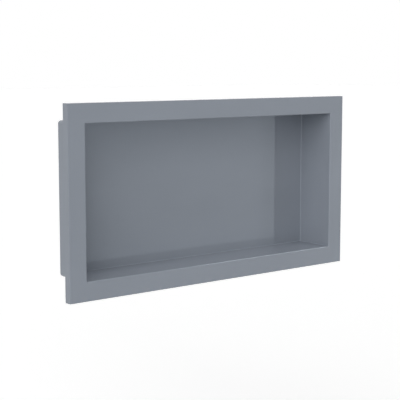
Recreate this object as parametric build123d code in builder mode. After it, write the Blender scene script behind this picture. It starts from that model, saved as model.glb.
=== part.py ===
from build123d import *
from math import radians, tan
import os

os.makedirs("parts", exist_ok=True)

# A shower niche insert, moulded in one piece: a shelf tub that goes through a hole in the wall, and a
# flat flange that frames its mouth and covers the edge of the hole.
# Frame: X along the shelf, +Y into the wall, +Z up. The origin is the middle of the wall's surface,
# where the flange's rim rests, so the flange stands out at -Y and the tub sits in the wall at +Y.

# Overall size, at the rim that rests on the wall
width = 610.0
height = 315.0

# Flange
border = 32.0  # width of the flat frame on every side of the mouth
rim_depth = 13.5  # how far the front face stands out from the wall
rim_radius = 0.5  # outer edge of the front face, and the corners of the rim
root_radius = 1.5  # corners of the hollow behind the flange

# Tub
cavity_depth = 76.2  # from the front face to the back of the shelf
inner_radius = 1.2  # corners inside the tub
outer_radius = 5.5  # corners outside the tub
mouth_radius = 1.5  # edge where the front face turns into the tub

# Moulding
wall = 3.0  # thickness of the whole shell
draft_angle = 0.5  # degrees that every wall leans, so that it leaves its mould and the floor drains

# Worked out from the sizes above
rim_lean = rim_depth * tan(radians(draft_angle))
mouth_width = width - 2 * rim_lean - 2 * border
mouth_height = height - 2 * rim_lean - 2 * border
tub_width = mouth_width + 2 * wall
tub_height = mouth_height + 2 * wall

wall_plane = Plane.front
mouth_plane = Plane.back.offset(-rim_depth)


def drafted_block(plane, long_side, short_side, depth, radius):
    """A block that narrows as it leaves the plane, with every edge rounded but those on the plane."""
    with BuildPart() as block:
        with BuildSketch(plane):
            Rectangle(long_side, short_side)
        extrude(amount=depth)
        draft(block.faces().filter_by(plane, reverse=True), plane, draft_angle)
        base = block.faces().sort_by(Axis(plane.origin, plane.z_dir))[0]
        fillet(block.edges() - base.edges(), radius)
    return block.part


# Four blocks that the shell lies between: the rim and the hollow behind it, the tub and its cavity
rim = drafted_block(wall_plane, width, height, rim_depth, rim_radius)
hollow = drafted_block(wall_plane, width - 2 * wall, height - 2 * wall, rim_depth - wall, root_radius)
cavity = drafted_block(mouth_plane, mouth_width, mouth_height, cavity_depth, inner_radius)
tub = drafted_block(mouth_plane, tub_width, tub_height, cavity_depth + wall, outer_radius)

# The shell: the flange stays hollow behind, so its rim meets the wall on a narrow lip
with BuildPart() as niche_insert:
    add(rim)
    add(hollow, mode=Mode.SUBTRACT)
    add(tub)
    add(cavity, mode=Mode.SUBTRACT)
    flange_front, flange_back = niche_insert.faces().filter_by(wall_plane).sort_by(Axis.Y)[:2]
    fillet(flange_front.inner_wires()[0].edges(), mouth_radius)
    fillet(flange_back.inner_wires()[0].edges(), root_radius)

niche_insert.part.label = "niche_insert"
export_step(niche_insert.part, "parts/niche_insert.step")

print("mouth", round(mouth_width, 2), "x", round(mouth_height, 2), "mm")
print("volume", round(niche_insert.part.volume / 1000, 1), "cm3")
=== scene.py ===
# %% [markdown]
# # A shower niche insert
# A niche insert is a shelf for a shower wall. It is moulded in one piece: a tub that goes into a hole in
# the wall, and a flat flange that frames the tub's mouth and hides the edge of the hole.
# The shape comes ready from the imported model, with its leaning walls and all its roundings. It could be
# modelled again here, but then there would be two shapes to keep alike. So the mesh stays as it is, and
# this lesson is about what comes after the shape: the finish, the camera, the room and the lamps.

# %% Load the moulded shell
import bpy
from math import atan, cos, degrees, pi, radians, sin
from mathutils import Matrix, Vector
from mathutils.bvhtree import BVHTree


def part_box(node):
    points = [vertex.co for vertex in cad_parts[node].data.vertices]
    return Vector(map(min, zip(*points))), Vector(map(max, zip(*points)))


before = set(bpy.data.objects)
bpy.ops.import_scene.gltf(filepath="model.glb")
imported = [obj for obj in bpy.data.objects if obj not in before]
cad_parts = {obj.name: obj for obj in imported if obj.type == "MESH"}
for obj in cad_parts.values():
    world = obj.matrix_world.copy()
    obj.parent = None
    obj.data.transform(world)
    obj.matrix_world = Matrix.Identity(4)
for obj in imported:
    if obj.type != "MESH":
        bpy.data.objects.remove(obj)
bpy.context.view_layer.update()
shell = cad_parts["niche_insert"]
shell_low, shell_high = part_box("niche_insert")
print("shell", [round(v, 4) for v in shell_high - shell_low], "m,", len(shell.data.polygons), "faces")

# %% [markdown]
# ## Measure the shell
# The finish will differ between the side that shows in the room and the side that the wall hides, so the
# material has to know where one ends and the other begins. Copying sizes out of the drawing would work
# until the drawing changes. Instead a few rays are shot at the mesh, as one would reach in with a ruler:
# one to the back of the shelf, one sideways and one upwards near the mouth, and one more sideways near the
# back, which tells how far the walls lean in.

# %% Feel the inside with rays
faces = [face.vertices for face in shell.data.polygons]
feeler = BVHTree.FromPolygons([point.co for point in shell.data.vertices], faces)


def reach(start, direction):
    """The place where a ray from inside the tub first meets the shell."""
    return feeler.ray_cast(Vector(start), Vector(direction))[0]


shelf_back = reach((0.0, shell_low.y, 0.0), (0.0, 1.0, 0.0)).y
wall = shell_high.y - shelf_back
past_roundings = 2.0 * wall
near_y = shell_low.y + past_roundings
far_y = shelf_back - past_roundings
half_width = reach((0.0, near_y, 0.0), (1.0, 0.0, 0.0)).x
half_height = reach((0.0, near_y, 0.0), (0.0, 0.0, 1.0)).z
lean = (half_width - reach((0.0, far_y, 0.0), (1.0, 0.0, 0.0)).x) / (far_y - near_y)
print("wall", round(wall * 1000, 2), "mm, lean", round(degrees(atan(lean)), 2), "degrees")
print("inside, near the mouth", round(2 * half_width, 4), "x", round(2 * half_height, 4), "m")

# %% [markdown]
# ## Shader maths as Python
# A finish is a sum of small decisions: a bit duller here, a bit rougher there. In the node editor each sum
# is a box with wires. Here a small class holds one output socket, and Python's own signs add the boxes,
# so a mask reads like the formula that it is.

# %% A socket that can be added, multiplied and compared


class Wire:
    """One output socket of a node. Sums, products and comparisons of wires become Math nodes."""

    def __init__(self, socket):
        self.socket = socket

    @staticmethod
    def node(tree, kind, settings=None, inputs=None, output=0):
        """Adds one node of any kind, sets it up, feeds its sockets and returns the wire that leaves it."""
        made = tree.nodes.new(kind)
        for name, value in (settings or {}).items():
            setattr(made, name, value)
        for name, value in (inputs or {}).items():
            if isinstance(value, Wire):
                tree.links.new(value.socket, made.inputs[name])
            else:
                made.inputs[name].default_value = value
        return Wire(made.outputs[output])

    def math(self, operation, first, second=0.0):
        tree = self.socket.id_data
        return Wire.node(tree, "ShaderNodeMath", {"operation": operation}, {0: first, 1: second})

    def feed(self, socket):
        self.socket.id_data.links.new(self.socket, socket)

    def __add__(self, other):
        return self.math("ADD", self, other)

    def __radd__(self, other):
        return self.math("ADD", other, self)

    def __sub__(self, other):
        return self.math("SUBTRACT", self, other)

    def __rsub__(self, other):
        return self.math("SUBTRACT", other, self)

    def __mul__(self, other):
        return self.math("MULTIPLY", self, other)

    def __rmul__(self, other):
        return self.math("MULTIPLY", other, self)

    def __lt__(self, other):
        return self.math("LESS_THAN", self, other)

    def __gt__(self, other):
        return self.math("GREATER_THAN", self, other)

    def __or__(self, other):
        return self.math("MAXIMUM", self, other)

    def __ror__(self, other):
        return self.math("MAXIMUM", other, self)

    def __abs__(self):
        return self.math("ABSOLUTE", self)


print("signs that make nodes: + - * < > | and abs")

# %% [markdown]
# ## Two sides of one moulding
# A mould is polished where its plastic will be seen and left plain where a wall will cover it, because
# polishing is dear. The shell could be cut into two materials, but its faces are shared and would have to
# be picked one by one. A mask that asks each point where it lies needs no picking: everything on the room's
# side of the middle of the wall is polished. The change itself lies inside the plastic, and comes out only
# on the lip that rests on the wall.

# %% The polished side as a mask
grey = bpy.data.materials.new("moulded_grey_gloss")
grey.use_nodes = True
grey_tree = grey.node_tree
skin = grey_tree.nodes["Principled BSDF"]
shell.material_slots[0].material = grey

place = Wire.node(grey_tree, "ShaderNodeTexCoord", output="Object")
split = Wire.node(grey_tree, "ShaderNodeSeparateXYZ", None, {0: place}).socket.node
across = abs(Wire(split.outputs["X"]))
inward = Wire(split.outputs["Y"])
upright = abs(Wire(split.outputs["Z"]))

half_wall = 0.5 * wall
closing_in = (inward - near_y) * lean
in_tub = (across < half_width + half_wall - closing_in) * (upright < half_height + half_wall - closing_in)
on_shelf = in_tub * (inward < shelf_back + half_wall)
on_front = inward < shell_low.y + half_wall
on_rim = (across > shell_high.x - half_wall) | (upright > shell_high.z - half_wall)
polished = on_shelf | on_front | on_rim
print("mask made of", len([node for node in grey_tree.nodes if node.type == "MATH"]), "Math nodes")

# %% [markdown]
# ## Colour right through
# The plastic is a blue-grey that is mixed in before moulding, so there is no paint to chip and no edge of
# another colour. The mix is never quite even: it runs into the mould along the shelf and leaves long
# clouds in it, a hair lighter and darker, with a finer speckle from the pigment. Painting them by hand
# would fix them to one picture. Noise that is stretched along the shelf has the same look at any size.

# %% Clouds and speckle in the grey
grey_mean = Vector((0.257, 0.280, 0.318))
cloud_depth = 0.06
speckle_depth = 0.03
cloud_size = 0.08
cloud_stretch = 2.5
speckle_size = 0.0012
along = (1.0 / cloud_stretch, 1.0, 1.0)
flow = Wire.node(grey_tree, "ShaderNodeVectorMath", {"operation": "MULTIPLY"}, {0: place, 1: along})


def patches(where, size, detail):
    """Soft random patches about as large as the size, as a value around 0.5."""
    settings = {"Vector": where, "Scale": 1.0 / size, "Detail": detail}
    return Wire.node(grey_tree, "ShaderNodeTexNoise", None, settings)


def blend(share, first, second):
    """A colour between two colours."""
    return Wire.node(grey_tree, "ShaderNodeMix", {"data_type": "RGBA"}, {0: share, 6: first, 7: second}, 2)


def shade(amount):
    """The grey, lighter or darker by a share of itself."""
    return (*(grey_mean * (1.0 + amount)), 1.0)


depth = cloud_depth + speckle_depth
mix = patches(flow, cloud_size, detail=2.0) * (cloud_depth / depth)
mix = mix + patches(place, speckle_size, detail=1.0) * (speckle_depth / depth)
blend(mix, shade(-depth), shade(depth)).feed(skin.inputs["Base Color"])
print("grey from", [round(v, 3) for v in shade(-depth)[:3]], "to", [round(v, 3) for v in shade(depth)[:3]])

# %% [markdown]
# ## Gloss and grain
# The room's side copies the polish of its mould: it mirrors the walls of the shelf in each other, with a
# touch of haze that is not the same everywhere. Under the gloss lies the shallow swell that moulded plastic
# sets with, a few thousandths of a millimetre, just enough to keep a long reflection from looking ruled.
# The wall's side is duller and finely grained. All this is too small to model as mesh, so it goes into the
# roughness and into one bump, whose heights are written in metres like everything else.
# In the photograph the hue is the same where the plastic mirrors the room and where it mirrors itself. A
# white gloss would wash out the colour in the first of these places, so the gloss gets a tint of the
# plastic's own blue.

# %% Haze, swell and grain
plastic_ior = 1.64
gloss_tint = (0.75, 0.865, 1.0, 1.0)
gloss_haze = 0.04
haze_change = 0.02
plain_haze = 0.15
swell_height = 3e-6
swell_size = 0.007
grain_height = 1e-5
grain_size = 0.0009

haze = gloss_haze + patches(flow, cloud_size, detail=3.0) * haze_change
roughness = haze * polished + plain_haze * (1.0 - polished)
roughness.feed(skin.inputs["Roughness"])

swell = patches(place, swell_size, detail=1.0) * swell_height
grain = patches(place, grain_size, detail=2.0) * grain_height
height = swell * polished + grain * (1.0 - polished)
bump = Wire.node(grey_tree, "ShaderNodeBump", None, {"Strength": 1.0, "Distance": 1.0, "Height": height})
bump.feed(skin.inputs["Normal"])
skin.inputs["IOR"].default_value = plastic_ior
skin.inputs["Specular Tint"].default_value = gloss_tint
print("finish has", len(grey_tree.nodes), "nodes")

# %% [markdown]
# ## Camera
# The photograph looks at the insert from its left and a little from above. The upright edges stay upright
# and nearly parallel, so it was taken almost level and from some distance, through a long lens. A short
# lens close by would fill the frame as well, but it would spread the near end of the flange. The camera
# aims a little left of the front's middle and below it, because the near end takes up more of the picture.

# %% A long lens, left of the middle
view_turn = radians(39.318)
view_drop = radians(7.038)
view_distance = 1.8915
focal_length = 100.0
aim_left = 0.04175
aim_down = 0.01256
shell_middle = 0.5 * (shell_low + shell_high)
aim = Vector((shell_middle.x - aim_left, shell_low.y, shell_middle.z - aim_down))
sight = Vector((sin(view_turn) * cos(view_drop), cos(view_turn) * cos(view_drop), -sin(view_drop)))

lens = bpy.data.cameras.new("photo_camera")
lens.lens = focal_length
camera = bpy.data.objects.new("photo_camera", lens)
camera.location = aim - sight * view_distance
camera.rotation_euler = sight.to_track_quat("-Z", "Y").to_euler()
bpy.context.scene.collection.objects.link(camera)
bpy.context.scene.camera = camera
bpy.context.scene.view_settings.view_transform = "Standard"
print("camera at", [round(v, 3) for v in camera.location])

# %% [markdown]
# ## A white room
# Behind the insert there is nothing but white, and white is also what its polish mirrors. If that white
# lit the shelf as well, every corner would be as bright as the next and the tub would look flat. So the
# world is white only to rays that look at it, straight or in a mirror, and almost dark to the rest. Cycles
# also aims rays of its own at a world to gather light. Those would find the dark and take white out of the
# polish, so they are switched off.

# %% World
white = (1.0, 1.0, 1.0, 1.0)
ambient = 0.01
world = bpy.data.worlds.new("white_studio")
bpy.context.scene.world = world
world.use_nodes = True
world.cycles.sampling_method = "NONE"
sky = world.node_tree
background = sky.nodes["Background"]


def seen_directly(tree):
    """1 for rays that look, straight, in a mirror or through glass, and 0 for rays that light."""
    path = Wire.node(tree, "ShaderNodeLightPath").socket.node
    rays = ("Is Camera Ray", "Is Glossy Ray", "Is Transmission Ray")
    straight, in_mirror, through_glass = (Wire(path.outputs[ray]) for ray in rays)
    return straight | in_mirror | through_glass


strength = ambient + seen_directly(sky) * (1.0 - ambient)
strength.feed(background.inputs["Strength"])
background.inputs["Color"].default_value = white
print("world: white to look at,", ambient, "as light")

# %% [markdown]
# ## Lamps
# The shading inside the tub tells where the light stood: a large soft lamp at the left, which leaves the
# top of the right wall in shadow, a weaker one low at the right, and one overhead that brightens the shelf
# towards its front edge. Far, wide suns do that without a hot spot. They are hidden from mirror rays, so
# the polish shows the white room and no round lamps. The edge lamp at the far right is the other way round:
# it lights nothing, and its image is the thin bright line along the front edge of the shelf. The last one
# lights the side that goes into the wall. It stands low, because a high one would also light the floor, and
# the floor would throw that light forward.

# %% Soft lamps


def soft_lamp(name, turn, rise, spread, level, mirrored=False):
    """A far, wide lamp, turned from the front to the right. At a level of 1 colours show as written."""
    light = bpy.data.lights.new(name, "SUN")
    light.angle = radians(spread)
    light.energy = level * pi
    lamp = bpy.data.objects.new(name, light)
    flat = cos(radians(rise))
    toward = Vector((sin(radians(turn)) * flat, -cos(radians(turn)) * flat, sin(radians(rise))))
    lamp.rotation_euler = (-toward).to_track_quat("-Z", "Y").to_euler()
    lamp.visible_glossy = mirrored
    lamp.visible_diffuse = not mirrored
    bpy.context.scene.collection.objects.link(lamp)
    front_share = round(level * max(0.0, -toward.y), 3)
    print(name, "shows only in the polish" if mirrored else f"adds {front_share} to the front")
    return lamp


lamps = [
    soft_lamp("key_lamp", turn=-53.6, rise=21.2, spread=60.4, level=0.738),
    soft_lamp("right_lamp", turn=53.0, rise=3.3, spread=9.0, level=0.087),
    soft_lamp("top_lamp", turn=28.0, rise=73.0, spread=16.0, level=0.315),
    soft_lamp("edge_lamp", turn=80.0, rise=46.7, spread=10.0, level=0.08, mirrored=True),
    soft_lamp("back_lamp", turn=175.0, rise=5.0, spread=20.0, level=0.45),
]

# %% [markdown]
# ## Floor
# The insert hangs in the air, as it does on the wall later, well above a pale floor that closes the room
# from below and throws some light up into the shelf. One large square is enough. It belongs to the studio
# and not to the insert.

# %% One large square
floor_drop = 0.45
floor_half = 30.0
floor_z = shell_low.z - floor_drop
corners = [(-floor_half, -floor_half), (floor_half, -floor_half)]
corners += [(-x, -y) for x, y in corners]
floor_mesh = bpy.data.meshes.new("floor")
floor_mesh.from_pydata([(x, y, floor_z) for x, y in corners], [], [(0, 1, 2, 3)])
floor = bpy.data.objects.new("floor", floor_mesh)
bpy.context.scene.collection.objects.link(floor)
print("floor", 2 * floor_half, "m wide,", floor_drop, "m below the shell")

# %% [markdown]
# ## Floor paint
# The paint is a dull pale grey. Under these lamps it would look darker than the world, and a line would
# show where the two meet. Stronger lamps would hide the line but burn out the insert. So the paint gets
# a light of its own, only for rays that look at it, and just what is missing to white. How much the lamps
# bring follows from their levels and from how steeply they shine down. Shadows on the floor stay, because
# the lift is the same all over.

# %% Pale paint, lifted to white
floor_grey = 0.85
floor_roughness = 0.9
falling = [lamp.data.energy / pi * lamp.matrix_basis.col[2].z for lamp in lamps if lamp.visible_diffuse]
floor_lift = 1.0 - floor_grey * (sum(falling) + ambient)

pale = bpy.data.materials.new("pale_floor")
pale.use_nodes = True
pale_tree = pale.node_tree
paint = pale_tree.nodes["Principled BSDF"]
paint.inputs["Base Color"].default_value = (floor_grey, floor_grey, floor_grey, 1.0)
paint.inputs["Roughness"].default_value = floor_roughness
paint.inputs["Specular IOR Level"].default_value = 0.0
floor_mesh.materials.append(pale)

painted = Wire(paint.outputs[0])
glow = Wire.node(pale_tree, "ShaderNodeEmission", None, {"Color": white, "Strength": floor_lift})
both = Wire.node(pale_tree, "ShaderNodeAddShader", None, {0: painted, 1: glow})
looked_at = {0: seen_directly(pale_tree), 1: painted, 2: both}
lifted = Wire.node(pale_tree, "ShaderNodeMixShader", None, looked_at)
lifted.feed(pale_tree.nodes["Material Output"].inputs["Surface"])
print("floor lifted by", round(floor_lift, 3))
